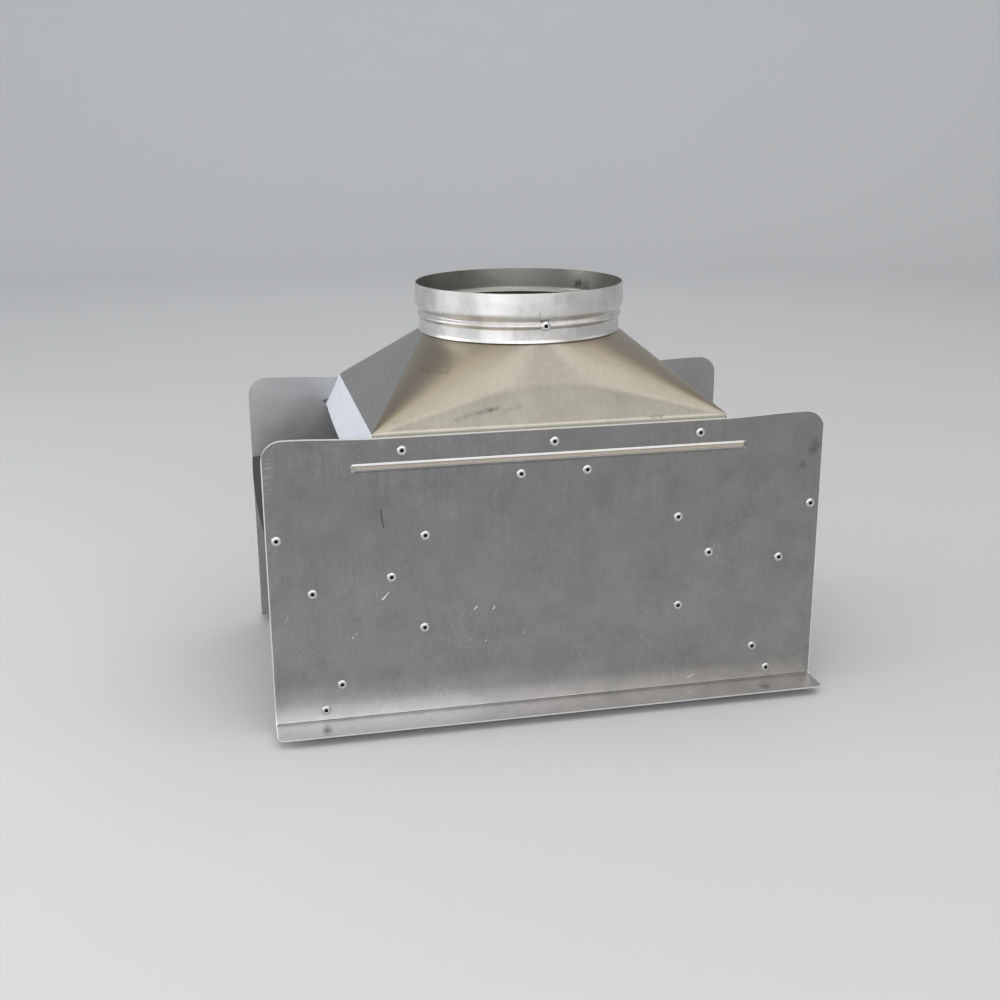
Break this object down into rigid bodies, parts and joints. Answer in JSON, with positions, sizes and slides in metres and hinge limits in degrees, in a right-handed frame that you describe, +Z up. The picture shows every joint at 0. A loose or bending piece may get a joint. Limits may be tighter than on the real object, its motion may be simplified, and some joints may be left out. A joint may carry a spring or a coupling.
{
  "type": "draft diverter",
  "caption": "Riveted sheet-metal draft diverter: flanged plates hold flared side walls and an inner baffle under a square-to-round hood with a beaded flue collar.",
  "frame": {"origin": "on the floor, under the flue collar's axis, which is the middle of the part's footprint", "axes": "+Z up along the flue collar's axis, +X along the plates' width, front plate facing -Y"},
  "size_m": [0.3982, 0.264, 0.2925],
  "materials": {
    "plate_sheet": "satin mill finish with faint vertical rolling lines",
    "hood_sheet": "pressed bright sheet, lightly stained",
    "collar_sheet": "rolled bright sheet",
    "inner_sheet": "satin mill finish",
    "rivet_metal": "bright blind rivets"
  },
  "bodies": {
    "root": {"front_plate": "plate_sheet", "rear_plate": "plate_sheet", "hood": "hood_sheet", "collar": "collar_sheet", "left_side_wall": "inner_sheet", "right_side_wall": "inner_sheet", "baffle_tray": "inner_sheet", "baffle_roof": "inner_sheet", "cross_tie": "inner_sheet", "collar_rivets": "rivet_metal", "hood_rivets_front": "rivet_metal", "hood_rivets_rear": "rivet_metal", "left_wall_rivets_front": "rivet_metal", "left_wall_rivets_rear": "rivet_metal", "right_wall_rivets_front": "rivet_metal", "right_wall_rivets_rear": "rivet_metal", "baffle_rivets_front": "rivet_metal", "baffle_rivets_rear": "rivet_metal", "tie_rivets_front": "rivet_metal", "tie_rivets_rear": "rivet_metal"}
  },
  "joints": []
}
